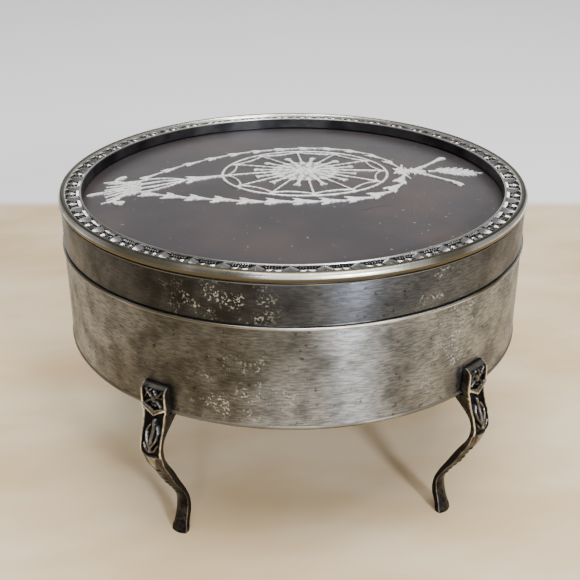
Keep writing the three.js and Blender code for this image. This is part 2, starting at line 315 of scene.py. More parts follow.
def block_mesh(low, high):
    """A plain square-cornered mesh between two corners."""
    built = bmesh.new()
    bmesh.ops.create_cube(built, size=1.0)
    size = Vector(high) - Vector(low)
    middle = (Vector(high) + Vector(low)) / 2
    for vertex in built.verts:
        vertex.co = Vector([part * side for part, side in zip(vertex.co, size)]) + middle
    return built


def cut_away(piece, low, high):
    """Cuts a square gap out of a piece and keeps what is left as its mesh."""
    cutter = made("cutter", block_mesh(low, high), piece.data.materials[0])
    gap = piece.modifiers.new("gap", "BOOLEAN")
    gap.operation = "DIFFERENCE"
    gap.solver = "EXACT"
    gap.object = cutter
    mesh = shown_mesh(piece)
    mesh.set_sharp_from_angle(angle=math.radians(35))
    piece.modifiers.clear()
    piece.data = mesh
    bpy.data.objects.remove(cutter)


def fitted(piece, body, slot, *nodes):
    """Fixes a piece to a body of the box, in place of the CAD solids that it stands for."""
    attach(piece, body)
    if nodes:
        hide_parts(*nodes)
    return piece


def polished_wire(name, tone, grime, roughness, tarnish_and_dark_reflection=(), highlight_slants=(-3, -2, 2, 3)):
    """Drawn wire with brown grime on it and a painted highlight where its upward slant lies in the span."""
    material, shader, flow = new_finish(name, 1.0, roughness)
    smear = grain(flow, 120, 4).clamped(0.42, 0.68)
    scratches = grain(flow, 1400, 2, stretch=(1, 1, 3)).clamped(0.5, 0.8)
    # Painted highlight: the polished tone goes only where the upward slant lies in the span, grime
    # elsewhere.
    facing_up = part_of(flow.make("ShaderNodeTexCoord", out=1), 2)
    low, full_low, full_high, high = highlight_slants
    bright = facing_up.clamped(low, full_low) * (1 - facing_up.clamped(full_high, high))
    bright = bright * (1 - smear * 0.55)
    if tarnish_and_dark_reflection:
        bright = bright * (1 - spotted(flow, tarnish_and_dark_reflection) * 0.85)
    feed(bright.mixed(grime, tone), shader, "Base Color")
    feed(smear * 0.16 + scratches * 0.08 + (1 - bright) * 0.08 + roughness, shader, "Roughness")
    bumped(flow, smear + scratches * 0.4, shader, 0.015 * MM, 0.3)
    return material


wire_silver = polished_wire(
    "wire silver",
    colour(0.62, 0.6, 0.57),
    colour(0.09, 0.075, 0.05),
    0.24,
    tarnish_and_dark_reflection=((on_wall(-30, 47), 20 * MM), (on_wall(-62, 47), 20 * MM), (on_wall(42, 47), 8 * MM)),
)
# Painted shade: a darkened copy of the wire silver for the foot wire and the bead under the cove.
shaded_wire_silver = polished_wire("shaded wire silver", colour(0.19, 0.175, 0.15), colour(0.07, 0.06, 0.045), 0.42)

sheet_gauge = 0.9
wall_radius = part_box("drum_wall")[1].x / MM
wall_inside = wall_radius - sheet_gauge
lip_radius, lip_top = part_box("drum_lip_wire")[1].x / MM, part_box("drum_lip_wire")[1].z / MM
drum_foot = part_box("base_edge_wire")[0].z / MM
pin_low, pin_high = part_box("hinge_pin")
hinge_y = (pin_low.y + pin_high.y) / 2
hinge_z = (pin_low.z + pin_high.z) / 2
notch_half = pin_high.x + 0.3 * MM
notch_deep, notch_past = 2.3 * MM, 10 * MM


def notched(piece, below, above):
    """Cuts the hinge's notch out of a ring, from a height below the pin to one above it."""
    behind = (30 * MM, 60 * MM)
    cut_away(
        piece, (-notch_half, behind[0], hinge_z - below), (notch_half, behind[1], hinge_z + above)
    )


def square_outline(inside, outside, bottom, top):
    return [(inside, bottom), (outside, bottom), (outside, top), (inside, top)]


def round_outline(middle, height, radius, sides=16, squash=1.0):
    angles = [2 * math.pi * i / sides for i in range(sides)]
    return [
        (middle + radius * math.cos(a), height + squash * radius * math.sin(a)) for a in angles
    ]


wall_outline = square_outline(wall_inside, wall_radius, drum_foot + 0.6, lip_top - 0.5)
drum_wall = made("drum_wall_turned", turned_mesh(eased(wall_outline, 0.08)), drum_silver)
notched(drum_wall, notch_deep, notch_past)
fitted(drum_wall, "box", "drum_silver", "drum_wall")

lip_outline = round_outline(lip_radius - 0.36, lip_top - 0.3, 0.33, squash=0.9)
lip = made("drum_lip_rolled", turned_mesh(lip_outline), wire_silver)
notched(lip, notch_deep, notch_past)
fitted(lip, "box", "wire_silver", "drum_lip_wire")

foot_outline = round_outline(wall_radius - 0.22, drum_foot + 0.4, 0.4)
foot_wire = made("drum_foot_wire", turned_mesh(foot_outline), shaded_wire_silver)
fitted(foot_wire, "box", "wire_silver", "base_edge_wire")

# ---- Base plate ----
# A flat disc of sheet silver let into the foot of the drum and soldered. It is seldom polished
# underneath, so it keeps a dull grey skin with brown bloom.
plate_low, plate_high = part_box("base_plate")
plate_silver = sheet_silver("plate silver", colour(0.4, 0.39, 0.37), colour(0.16, 0.14, 0.11), 0.46)
plate_outline = square_outline(0, wall_inside - 0.05, plate_low.z / MM, plate_high.z / MM)
plate = made("base_plate_disc", turned_mesh(eased(plate_outline, 0.1)), plate_silver)
fitted(plate, "box", "drum_silver", "base_plate")

# ---- Floor and light ----
# A pale board that ends in a straight line behind the box, with a paler one beyond it, under a broad
# soft light from above and a small window light from the front right.
floor_material, floor_shader, floor_flow = new_finish("pale board", 0.0, 0.55)
board_back = part_of(on_piece(floor_flow, turn=(0, 0, math.radians(7.0))), 1)
cloud = grain(floor_flow, 22, 5, stretch=(1, 2.2, 1)).clamped(0.3, 0.7)
near_tone = cloud.mixed(colour(0.64, 0.46, 0.25), colour(0.78, 0.63, 0.42))
far_tone = board_back.clamped(128 * MM, 136 * MM)
feed(far_tone.mixed(near_tone, colour(0.94, 0.93, 0.95)), floor_shader, "Base Color")
built = bmesh.new()
bmesh.ops.create_circle(built, cap_ends=True, segments=128, radius=1.5)
floor = made("floor", built, floor_material)


def soft_light(name, azimuth, elevation, reach, size, power, tone):
    """A square soft light that faces the box."""
    a, e = math.radians(azimuth), math.radians(elevation)
    back = Vector((math.sin(a) * math.cos(e), -math.cos(a) * math.cos(e), math.sin(e)))
    lamp = bpy.data.objects.new(name, bpy.data.lights.new(name, "AREA"))
    lamp.data.shape = "DISK"
    lamp.data.size = size
    lamp.data.energy = power
    lamp.data.color = tone
    lamp.location = back * reach + Vector((0, 0, 0.03))
    lamp.rotation_euler = back.to_track_quat("Z", "Y").to_euler()
    scene.collection.objects.link(lamp)


soft_light("overhead", 20, 78, 0.9, 0.8, 13.0, (1.0, 0.99, 0.97))
soft_light("window", 20, 20, 0.8, 0.12, 6.6, (0.88, 0.94, 1.0))
soft_light("side window", -15, 24, 0.8, 0.06, 0.9, (0.9, 0.95, 1.0))
soft_light("back wall", 175, 24, 1.0, 1.0, 0.9, (1.0, 1.0, 1.0))
world = bpy.data.worlds.new("studio")
world.use_nodes = True
world.node_tree.nodes["Background"].inputs["Color"].default_value = colour(0.8, 0.81, 0.83)
world.node_tree.nodes["Background"].inputs["Strength"].default_value = 0.42
scene.world = world

# ---- Lid skirt, cove and roll ----
# The lid's side is a strip of the same sheet; above it a drawn moulding makes a hollow in near-black
# painted shade, a thin bead and the polished roll that takes all the rubbing, with a painted highlight band.
skirt_low, skirt_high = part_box("lid_skirt")
skirt_bottom, skirt_top = skirt_low.z / MM, skirt_high.z / MM
rim_radius, rim_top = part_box("rim_roll")[1].x / MM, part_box("rim_roll")[1].z / MM
lid_silver = sheet_silver(
    "lid silver",
    colour(0.15, 0.165, 0.2),
    colour(0.026, 0.025, 0.023),
    0.4,
    crusts=((on_wall(-27, 52), 9 * MM), (on_wall(-18, 50), 8 * MM), (on_wall(24, 51), 7 * MM)),
    tarnish_and_dark_reflection=((on_wall(-34, 51), 22 * MM), (on_wall(-18, 50), 16 * MM)),
)
skirt_outline = [
    (wall_inside, skirt_bottom - 0.2),
    (wall_radius, skirt_bottom - 0.2),
    (wall_radius, skirt_top - 0.1),
    (wall_radius - 0.25, skirt_top + 0.1),
    (wall_inside, skirt_top + 0.1),
]
skirt = made("lid_skirt_turned", turned_mesh(eased(skirt_outline, 0.1)), lid_silver)
notched(skirt, notch_past, notch_deep)
fitted(skirt, "lid", "drum_silver", "lid_skirt")

# Painted shade: near-black silver for the hollow of the cove and for the collar under the inner wire.
shade_painted_silver, cove_shader, cove_flow = new_finish("shade painted silver", 1.0, 0.45)
cove_mottle = grain(cove_flow, 160, 4).clamped(0.3, 0.7)
feed(cove_mottle.mixed(colour(0.035, 0.035, 0.04), colour(0.12, 0.115, 0.115)), cove_shader, "Base Color")
cove_outline = [
    (wall_inside, skirt_top + 0.1),
    (wall_radius - 0.4, skirt_top + 0.1),
    (wall_radius - 0.5, skirt_top + 0.25),
    (wall_radius - 0.4, skirt_top + 0.45),
    (wall_inside, skirt_top + 0.45),
]
cove = made("rim_cove_drawn", turned_mesh(cove_outline), shade_painted_silver)
fitted(cove, "lid", "drum_silver", "rim_cove")

roll_silver = polished_wire(
    "roll silver",
    colour(0.86, 0.83, 0.76),
    colour(0.1, 0.088, 0.055),
    0.2,
    tarnish_and_dark_reflection=((on_wall(-40, 56), 16 * MM), (on_wall(-22, 56), 9 * MM), (on_wall(28, 56), 7 * MM)),
    # Painted highlight band along the roll's upper outer slope.
    highlight_slants=(0.05, 0.3, 0.62, 0.9),
)
roll_low_edge = skirt_top + 0.38
roll_outline = [
    (rim_radius - 1.5, roll_low_edge),
    (rim_radius - 1.52, rim_top - 0.75),
    (rim_radius - 1.42, rim_top - 0.28),
    (rim_radius - 1.15, rim_top - 0.04),
    (rim_radius - 0.85, rim_top),
    (rim_radius - 0.5, rim_top - 0.16),
    (rim_radius - 0.2, rim_top - 0.52),
    (rim_radius - 0.04, rim_top - 0.98),
    (rim_radius - 0.06, rim_top - 1.32),
    (rim_radius - 0.24, roll_low_edge + 0.1),
    (rim_radius - 0.45, roll_low_edge),
]
roll = made("rim_roll_drawn", turned_mesh(eased(roll_outline, 0.12), 320), roll_silver)
fitted(roll, "lid", "wire_silver", "rim_roll")
# The bead takes the darkened wire silver: painted shade.
bead_outline = round_outline(wall_radius - 0.08, skirt_top + 0.04, 0.13, 12)
bead = made("rim_lower_bead", turned_mesh(bead_outline, 320), shaded_wire_silver)
fitted(bead, "lid", "wire_silver")

# ---- Leaf band ----
# A strip of stamped gallery, bent into a ring between the roll and the inner wire: broad pointed
# leaves and small darts on a sunk ground, with a row of short bars along the inner side.
stamped_silver, stamp_shader, stamp_flow = new_finish("stamped silver", 1.0, 0.3)
stamp_height = stamp_flow.make("ShaderNodeAttribute", {"attribute_name": "raised"}, out=2)
stamp_dirt = grain(stamp_flow, 700, 3)
stamp_worn = (stamp_height + (stamp_dirt - 0.5) * 0.35).clamped(0.12, 0.62)
feed(stamp_worn.mixed(colour(0.045, 0.043, 0.043), colour(0.31, 0.305, 0.3)), stamp_shader, "Base Color")
feed(0.52 - stamp_worn * 0.24, stamp_shader, "Roughness")
bumped(stamp_flow, grain(stamp_flow, 2600, 2), stamp_shader, 0.03 * MM, 0.4)

band_low, band_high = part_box("rim_leaf_band")
band_ground = band_high.z / MM - 0.3
inner_low, inner_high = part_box("rim_inner_wire")
opening = inner_high.x / MM - sheet_gauge
band_inside = opening + 0.3
band_outside = rim_radius - 1.48
leaf_count = 48


def blade(built, path, halves, lift, ridge, sunk):
    """A closed strip along a flat path, with its middle raised; sizes in mm, written as metres."""
    raised = built.verts.layers.float["raised"]
    rows = []
    for i, (x, y) in enumerate(path):
        ahead = Vector(path[min(i + 1, len(path) - 1)]) - Vector(path[max(i - 1, 0)])
        side = Vector((-ahead.y, ahead.x)).normalized() * max(halves[i], 0.015)
        crest = ridge * min(1.0, halves[i] / max(halves) + 0.25)
        row = []
        for across, height in ((1, -sunk), (1, lift), (0, lift + crest), (-1, lift), (-1, -sunk)):
            vertex = built.verts.new((
                (x + side.x * across) * MM,
                (y + side.y * across) * MM,
                height * MM,
            ))
            vertex[raised] = 0.0 if height < 0 else (1.0 if across == 0 else 0.45)
            row.append(vertex)
        rows.append(row)
    for first, second in zip(rows, rows[1:]):
        for j in range(5):
            k = (j + 1) % 5
            built.faces.new((first[j], first[k], second[k], second[j]))
    built.faces.new(rows[0])
    built.faces.new(reversed(rows[-1]))


def new_blades():
    built = bmesh.new()
    built.verts.layers.float.new("raised")
    return built


def arc_path(start, middle, end, steps):
    """Points along a curve that leaves start for middle and comes in to end."""
    a, b, c = Vector(start), Vector(middle), Vector(end)
    shares = [i / steps for i in range(steps + 1)]
    return [tuple(a * (1 - t) ** 2 + b * 2 * t * (1 - t) + c * t**2) for t in shares]


def gallery_unit():
    """One repeat of the gallery: x runs outwards from the inner side, y along the strip."""
    built = new_blades()
    width = band_outside - band_inside
    half_pitch = math.pi * (band_inside + width / 2) / leaf_count
    spine = [(width * t, 0) for t in (0.04, 0.16, 0.32, 0.5, 0.68, 0.85, 1.0)]
    blade(built, spine, [0.8, 1.16, 1.3, 1.16, 0.76, 0.38, 0.04], 0.16, 0.42, 0.2)
    vein = [(width * t, 0) for t in (0.14, 0.36, 0.62, 0.88)]
    blade(built, vein, [0.09, 0.12, 0.1, 0.03], 0.5, 0.14, 0.2)
    for side in (-1, 1):
        for step in range(3):
            along = side * (1.46 + 0.46 * step)
            bar = [(0.05, along), (0.3, along), (0.55, along)]
            blade(built, bar, [0.13, 0.17, 0.12], 0.24, 0.14, 0.2)
        for reach, thick in ((0.38, 0.17), (0.62, 0.13)):
            swag = arc_path(
                (width * reach, side * (1.5 - 0.6 * reach)),
                (width * (reach + 0.2), side * 1.75),
                (width * (reach + 0.02), side * (half_pitch - 0.12)),
                6,
            )
            blade(built, swag, [thick] * 7, 0.16, 0.14, 0.2)
    stem = [(width * t, half_pitch) for t in (0.28, 0.42, 0.56, 0.74, 0.92)]
    blade(built, stem, [0.08, 0.16, 0.42, 0.26, 0.03], 0.2, 0.26, 0.2)
    return built


def opened_tree(name, **kinds):
    """A Geometry Nodes tree that takes a unit, a count, a finish and these further inputs."""
    tree = bpy.data.node_groups.new(name, "GeometryNodeTree")
    tree.interface.new_socket("Geometry", in_out="OUTPUT", socket_type="NodeSocketGeometry")
    kinds.update(Unit="Object", Count="Int", Finish="Material")
    for socket, kind in kinds.items():
        tree.interface.new_socket(socket, in_out="INPUT", socket_type=f"NodeSocket{kind}")
    given = tree.nodes.new("NodeGroupInput")
    return Flow(tree), {socket: Flow(tree, given.outputs[socket]) for socket in kinds}


def closed_tree(flow, given, points, facing):
    """Sets the unit on every point, makes one mesh of the copies and gives it the finish."""
    unit = flow.make("GeometryNodeObjectInfo", {}, {"Object": given["Unit"]}, out=4)
    sockets = {"Points": points, "Instance": unit, "Rotation": facing}
    copies = flow.make("GeometryNodeInstanceOnPoints", {}, sockets)
    whole = flow.make("GeometryNodeRealizeInstances", {}, {"Geometry": copies})
    done = flow.make("GeometryNodeSetMaterial", {}, {"Geometry": whole, "Material": given["Finish"]})
    flow.tree.links.new(done.socket, flow.tree.nodes.new("NodeGroupOutput").inputs[0])
    return flow.tree


def ring_tree():
    """Sets copies of the unit evenly round a ring, each turned to face outwards."""
    flow, given = opened_tree("units round a ring", Radius="Float", Height="Float")
    angle = flow.make("GeometryNodeInputIndex") * flow.maths("DIVIDE", 2 * math.pi, given["Count"])
    east = flow.maths("COSINE", angle) * given["Radius"]
    north = flow.maths("SINE", angle) * given["Radius"]
    place = flow.make("ShaderNodeCombineXYZ", {}, {"X": east, "Y": north, "Z": given["Height"]})
    facing = flow.make("ShaderNodeCombineXYZ", {}, {"Z": angle})
    points = flow.make("GeometryNodePoints", {}, {"Count": given["Count"], "Position": place})
    return closed_tree(flow, given, points, facing)


def grown(name, tree, **inputs):
    """The plain mesh that a Geometry Nodes tree makes with these named inputs."""
    host = bpy.data.objects.new(name, bpy.data.meshes.new(name))
    scene.collection.objects.link(host)
    modifier = host.modifiers.new(name, "NODES")
    modifier.node_group = tree
    for item in tree.interface.items_tree:
        if item.in_out == "INPUT":
            modifier[item.identifier] = inputs[item.name]
    mesh = shown_mesh(host)
    bpy.data.objects.remove(host)
    return mesh


round_ring = ring_tree()
unit = made("gallery unit", gallery_unit(), stamped_silver)
leaves = made(
    "rim_gallery_leaves",
    grown(
        "gallery", round_ring, Unit=unit, Count=leaf_count, Radius=band_inside * MM,
        Height=band_ground * MM, Finish=stamped_silver,
    ),
    stamped_silver,
    crease=25,
)
bpy.data.objects.remove(unit)
fitted(leaves, "lid", "stamped_silver")
ground_outline = [
    (band_inside, band_low.z / MM),
    (band_outside, band_low.z / MM),
    (band_outside, band_ground + 0.12),
    (band_outside - 0.2, band_ground),
    (band_inside, band_ground),
]
ground = made("rim_gallery_ground", turned_mesh(ground_outline), stamped_silver)
fitted(ground, "lid", "stamped_silver", "rim_leaf_band")

# ---- Inner wire ----
# A thin upright collar edges the opening and holds the shell down; its top is polished bright and
# its inner side is near-black, painted shade.
wire_bottom, wire_top = inner_low.z / MM, inner_high.z / MM
collar_outline = square_outline(opening + 0.02, opening + 0.36, wire_bottom, wire_top - 0.3)
collar = made("rim_inner_collar", turned_mesh(collar_outline, 320), shade_painted_silver)
fitted(collar, "lid", "wire_silver")
wire_outline = [
    (opening, wire_top - 0.34),
    (opening + 0.42, wire_top - 0.34),
    (opening + 0.4, wire_top),
    (opening + 0.04, wire_top),
]
inner_wire = made("rim_inner_wire_drawn", turned_mesh(eased(wire_outline, 0.16), 320), wire_silver)
fitted(inner_wire, "lid", "wire_silver", "rim_inner_wire")

# ---- Shell panel ----
# One disc of dark tortoiseshell, softened in hot water, pressed to a shallow dome and polished.
# Long handling has dulled it: faint red mottles, a hairline crack and dry specks.
panel_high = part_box("shell_panel")[1]
panel_radius = panel_high.x / MM
dome_rise = 3.7
panel_edge = panel_high.z / MM - dome_rise
dome_radius = (panel_radius**2 + dome_rise**2) / (2 * dome_rise)


def dome(x, y):
    """Height of the panel's top over a place, in mm."""
    return panel_edge + math.sqrt(dome_radius**2 - x * x - y * y) - (dome_radius - dome_rise)


shell, shell_shader, shell_flow = new_finish(
    "tortoiseshell", 0.0, 0.36, Coat_Weight=0.0, Specular_IOR_Level=0.55
)
clouds = grain(shell_flow, 42, 4).clamped(0.42, 0.66)
streaks = grain(shell_flow, 90, 3, stretch=(1, 2.2, 1), turn=(0, 0, 0.5)).clamped(0.5, 0.72)
shell_tone = clouds.mixed(colour(0.033, 0.028, 0.03), colour(0.055, 0.041, 0.039))
shell_tone = (streaks * 0.6).mixed(shell_tone, colour(0.036, 0.035, 0.04))
crack_place = on_piece(shell_flow, (0, 0, math.radians(-19)), (-6.0 * MM, 20.6 * MM, 0))
crack_along = part_of(crack_place, 0)
crack_across = part_of(crack_place, 1) + (grain(shell_flow, 160, 2) - 0.5) * 1.2 * MM
crack_width = 1 - crack_across.maths("ABSOLUTE", crack_across).clamped(0.0, 0.16 * MM)
crack_span = 1 - crack_along.maths("ABSOLUTE", crack_along).clamped(2.4 * MM, 3.6 * MM)
shell_tone = (crack_width * crack_span * 0.9).mixed(shell_tone, colour(0.004, 0.003, 0.003))
dry = grain(shell_flow, 1500, 2).clamped(0.71, 0.76)
shell_tone = (dry * 0.35).mixed(shell_tone, colour(0.55, 0.5, 0.45))
feed(shell_tone, shell_shader, "Base Color")
haze = grain(shell_flow, 60, 3)
feed(haze * 0.16 + 0.3, shell_shader, "Roughness")
bumped(shell_flow, grain(shell_flow, 500, 3), shell_shader, 0.02 * MM, 0.25)

panel_steps = 28
panel_top = [panel_radius * i / panel_steps for i in range(panel_steps + 1)]
panel_profile = [(r, dome(r, 0) - 1.3) for r in panel_top] + [(r, dome(r, 0)) for r in reversed(panel_top)]
panel = made("shell_panel_domed", turned_mesh(panel_profile, 256), shell)
fitted(panel, "lid", "shell", "shell_panel")

# ---- Silver inlay ----
# Thin leaf silver, saw-cut, engraved and let into the warm shell: a spoked oval wheel with a
# granulated middle, two chains of husks, a looped finial on the left and a leafy spray on the right.
# Painted reflection: the inlay's pale silver is near-white on a mostly non-metallic finish, for the bright
# sky it reflects.
inlay_silver, inlay_shader, inlay_flow = new_finish("inlay silver", 0.35, 0.42)
inlay_cut = inlay_flow.make("ShaderNodeAttribute", {"attribute_name": "raised"}, out=2)
inlay_grit = grain(inlay_flow, 1500, 3).clamped(0.35, 0.7)
inlay_tone = (inlay_cut + inlay_grit * 0.7 - 0.4).clamped(0.0, 0.75)
feed(inlay_tone.mixed(colour(0.3, 0.29, 0.28), colour(0.88, 0.87, 0.84)), inlay_shader, "Base Color")
bumped(inlay_flow, inlay_grit, inlay_shader, 0.05 * MM, 0.5)

inlay_lift, inlay_crest, inlay_depth = 0.16, 0.1, 0.12
motif_y = 0.4
wheel_x, wheel_half_length, wheel_half_width = 2.4, 16.0, 12.9


def cut_silver(built, path, halves):
    blade(built, path, halves, inlay_lift, inlay_crest, inlay_depth)


def draped(mesh):
    """Lays a flat mesh, built about height 0, on the top of the domed panel."""
    for vertex in mesh.vertices:
        x, y, z = vertex.co / MM
        vertex.co.z = (z + dome(x, y)) * MM
    return mesh


def around(radius, degrees):
    angle = math.radians(degrees)
    return (radius * math.cos(angle), radius * math.sin(angle))


def made_oval(mesh):
    """Squeezes a mesh made round into the wheel's oval and sets it in the wheel's place."""
    for vertex in mesh.vertices:
        vertex.co.x += wheel_x * MM
        vertex.co.y = vertex.co.y * wheel_half_width / wheel_half_length + motif_y * MM
    return mesh


def wheel_unit():
    """A twelfth of the wheel, as if it were round: spoke, petal, node, ring and middle."""
    built = new_blades()
    edge = wheel_half_length
    cut_silver(built, [(r, 0) for r in (5.8, 7.5, 11, 14, 14.8)], [0.34, 0.22, 0.18, 0.22, 0.34])
    cut_silver(built, [(r, 0) for r in (14.1, 14.7, 15.5)], [0.12, 0.52, 0.3])
    cut_silver(built, [around(r, 15) for r in (5.8, 7.2, 8.8, 9.7, 9.9)], [0.34, 0.3, 0.45, 0.78, 0.6])
    outer = [around(edge - 0.26, 30.6 * i / 8 - 0.3) for i in range(9)]
    cut_silver(built, outer, [0.26] * 9)
    inner = arc_path(around(14.8, 0), around(12.9, 15), around(14.8, 30), 8)
    cut_silver(built, inner, [0.3, 0.22, 0.18, 0.17, 0.17, 0.17, 0.18, 0.22, 0.3])
    cut_silver(built, [(r, 0) for r in (0.3, 1.2, 2.2, 2.8)], [0.1, 0.42, 0.5, 0.2])
    cut_silver(built, [around(r, 15) for r in (2.5, 3.4, 4.4, 4.9)], [0.2, 0.6, 0.72, 0.3])
    for degrees in (0, 15):
        cut_silver(built, [around(r, degrees) for r in (4.7, 5.5, 6.3, 6.7)], [0.3, 0.62, 0.6, 0.2])
    return built


unit = made("wheel unit", wheel_unit(), inlay_silver)
wheel_mesh = grown(
    "wheel", round_ring, Unit=unit, Count=12, Radius=0.0, Height=0.0, Finish=inlay_silver
)
bpy.data.objects.remove(unit)
wheel = made("inlay_wheel_spokes", draped(made_oval(wheel_mesh)), inlay_silver, crease=20)
fitted(wheel, "lid", "inlay_silver", "inlay_wheel")

hub_outline = [(0, -0.1), (6.4, -0.1), (6.5, 0.08), (6.2, 0.14), (0, 0.16)]
hub_mesh = settled("hub", turned_mesh(hub_outline, 72))
hub = made("inlay_wheel_hub", draped(made_oval(hub_mesh)), inlay_silver)
fitted(hub, "lid", "inlay_silver")


def through(points, steps):
    """A smooth line through places, a few steps between each two."""
    line = []
    for i in range(len(points) - 1):
        before, start = Vector(points[max(i - 1, 0)]), Vector(points[i])
        end, after = Vector(points[i + 1]), Vector(points[min(i + 2, len(points) - 1)])
        for step in range(steps):
            t = step / steps
            leave, arrive = (end - before) / 2, (after - start) / 2
            line.append(
                start * (2 * t**3 - 3 * t**2 + 1) + leave * (t**3 - 2 * t**2 + t)
                + end * (3 * t**2 - 2 * t**3) + arrive * (t**3 - t**2)
            )
    return [*line, Vector(points[-1])]


def line_tree():
    """Threads copies of the unit along a line, each turned to face along it."""
    flow, given = opened_tree("units along a line", Line="Object")
    line = flow.make("GeometryNodeObjectInfo", {}, {"Object": given["Line"]}, out=4)
    stops = flow.make("GeometryNodeResampleCurve", {}, {"Curve": line, "Count": given["Count"]})
    along = flow.make("GeometryNodeInputTangent")
    facing = flow.make("FunctionNodeAlignRotationToVector", {"axis": "X"}, {"Vector": along})
    return closed_tree(flow, given, stops, facing)


def husk_unit(slim):
    """One husk of the chain: barbed at its left, tapering to the right over the next one's stem."""
    built = new_blades()
    cut_silver(
        built,
        [(x, 0) for x in (-0.3, 0.15, 0.9, 2.2, 3.4, 4.6, 5.6)],
        [slim * half for half in (0.3, 0.85, 0.9, 0.62, 0.36, 0.24, 0.22)],
    )
    for side in (-1, 1):
        barb = [(1.1, side * slim * 0.5), (0.3, side * slim * 0.95), (-0.45, side * slim * 1.3)]
        cut_silver(built, barb, [0.45, 0.36, 0.06])
    return built


def laid_line(name, places):
    """A curve along places in mm, for threading units on."""
    curve = bpy.data.curves.new(name, "CURVE")
    curve.dimensions = "3D"
    spline = curve.splines.new("POLY")
    spline.points.add(len(places) - 1)
    for point, (x, y) in zip(spline.points, places):
        point.co = (x * MM, y * MM, 0, 1)
    line = bpy.data.objects.new(name, curve)
    scene.collection.objects.link(line)
    return line


bow = [
    (-28.3, 4.3), (-22.0, 8.3), (-15.0, 11.6), (-8.8, 13.8), (1.6, 15.3), (9.0, 14.8),
    (13.8, 12.8), (17.8, 9.2), (20.0, 5.0), (20.7, 1.6),
]
threaded = line_tree()
for side, place, slim in ((1, "upper", 0.66), (-1, "lower", 1.0)):
    unit = made("husk unit", husk_unit(slim), inlay_silver)
    bow_line = laid_line("bow", [(x, motif_y + side * (y - 0.2)) for x, y in through(bow, 8)])
    chain_mesh = grown("chain", threaded, Unit=unit, Line=bow_line, Count=13, Finish=inlay_silver)
    chain = made(f"inlay_husks_{place}", draped(chain_mesh), inlay_silver, crease=20)
    fitted(chain, "lid", "inlay_silver", f"inlay_chain_{place}")
    bpy.data.objects.remove(bow_line)
    bpy.data.objects.remove(unit)


def left_finial():
    """Tip, rays and curls of the bow, its ribbed body, three loops and a husk."""
    built = new_blades()
    cut_silver(built, [(x, 0) for x in (-38.9, -38.2, -37, -35, -32)], [0.3, 0.72, 0.6, 0.34, 0.4])
    for y in (-3.0, -1.8, -0.6, 0.6, 1.8, 3.0):
        rib = [(-33.4 + abs(y) * 0.3, y), (-31, y * 1.05), (-28.7, y * 0.92)]
        cut_silver(built, rib, [0.3, 0.66, 0.5])
    for side in (-1, 1):
        for lean, reach in ((1.0, 3.4), (2.3, 3.2), (3.9, 2.9)):
            ray = [(-31.5, side * lean * 0.7), (-33.6, side * lean), (-32.2 - reach, side * lean * 1.15)]
            cut_silver(built, ray, [0.5, 0.34, 0.24])
        curl = through([(-31, side * 2.6), (-33.2, side * 4.4), (-33.4, side * 6.2), (-31.7, side * 7.1)], 4)
        cut_silver(built, curl, [0.6] * 4 + [0.42] * 5 + [0.7, 0.85, 0.8, 0.5])
        cut_silver(built, [(-32.6, side * 4.6), (-34.4, side * 5.2), (-36, side * 5.6)], [0.4, 0.3, 0.15])
        for start in (1.1, 3.2):
            loop = arc_path((-28.8, side * start), (-24.6, side * start * 1.05), (-20.6, side * 0.25), 8)
            cut_silver(built, loop, [0.34] * 4 + [0.26] * 5)
    last_husk = [(x, 0) for x in (-21.4, -20.2, -19.4, -17.4, -15.2, -13.4)]
    cut_silver(built, last_husk, [0.3, 0.5, 1.2, 0.8, 0.5, 0.62])
    for side in (-1, 1):
        cut_silver(built, [(-18.6, side * 0.7), (-19.6, side * 1.3), (-20.4, side * 1.7)], [0.5, 0.36, 0.06])
    return built


def right_finial():
    """Knot, two curled prongs and a serrated leaf between them."""
    built = new_blades()
    cut_silver(built, [(x, 0) for x in (20.0, 21.2, 22.4, 23.6, 24.8, 26.2)], [0.5, 1.3, 0.8, 1.6, 1.1, 0.5])
    for x in (21.3, 22.6, 23.9):
        cut_silver(built, [(x - 0.3, -1.7), (x, 0), (x - 0.3, 1.7)], [0.2, 0.36, 0.2])
    upper = through([(24.2, 0.8), (26.5, 3.0), (28.7, 5.4), (30.9, 8.2), (32.7, 10.0)], 3)
    lower = through([(24.2, -0.8), (26.5, -2.4), (28.4, -3.9), (30.4, -5.2), (31.9, -7.2)], 3)
    for prong in (upper, lower):
        cut_silver(built, prong, [0.6, 0.55, 0.5, 0.45] + [0.36] * 5 + [0.5, 0.7, 0.85, 0.6])
    leaf = [(26.8, 0.3), (29, 0.5), (31.5, 0.7), (35, 0.9), (38.5, 1.0)]
    cut_silver(built, leaf, [0.3, 0.4, 0.8, 0.6, 0.1])
    for side in (-1, 1):
        for x, reach in ((28.8, 1.8), (30.0, 2.4), (31.3, 2.8), (32.7, 2.6), (34.2, 2.1), (35.6, 1.4)):
            tip = (x + reach * 0.85, 0.8 + side * reach * 0.95)
            cut_silver(built, [(x, 0.8), ((x + tip[0]) / 2, (0.8 + tip[1]) / 2), tip], [0.5, 0.6, 0.08])
    return built


for name, finial, tilt in (("left", left_finial(), 0.0), ("right", right_finial(), 0.12)):
    for vertex in finial.verts:
        vertex.co.y += motif_y * MM + tilt * (vertex.co.x - 18.4 * MM)
    shaped = made(f"inlay_cut_{name}", draped(settled(name, finial)), inlay_silver, crease=20)
    fitted(shaped, "lid", "inlay_silver", f"inlay_finial_{name}")

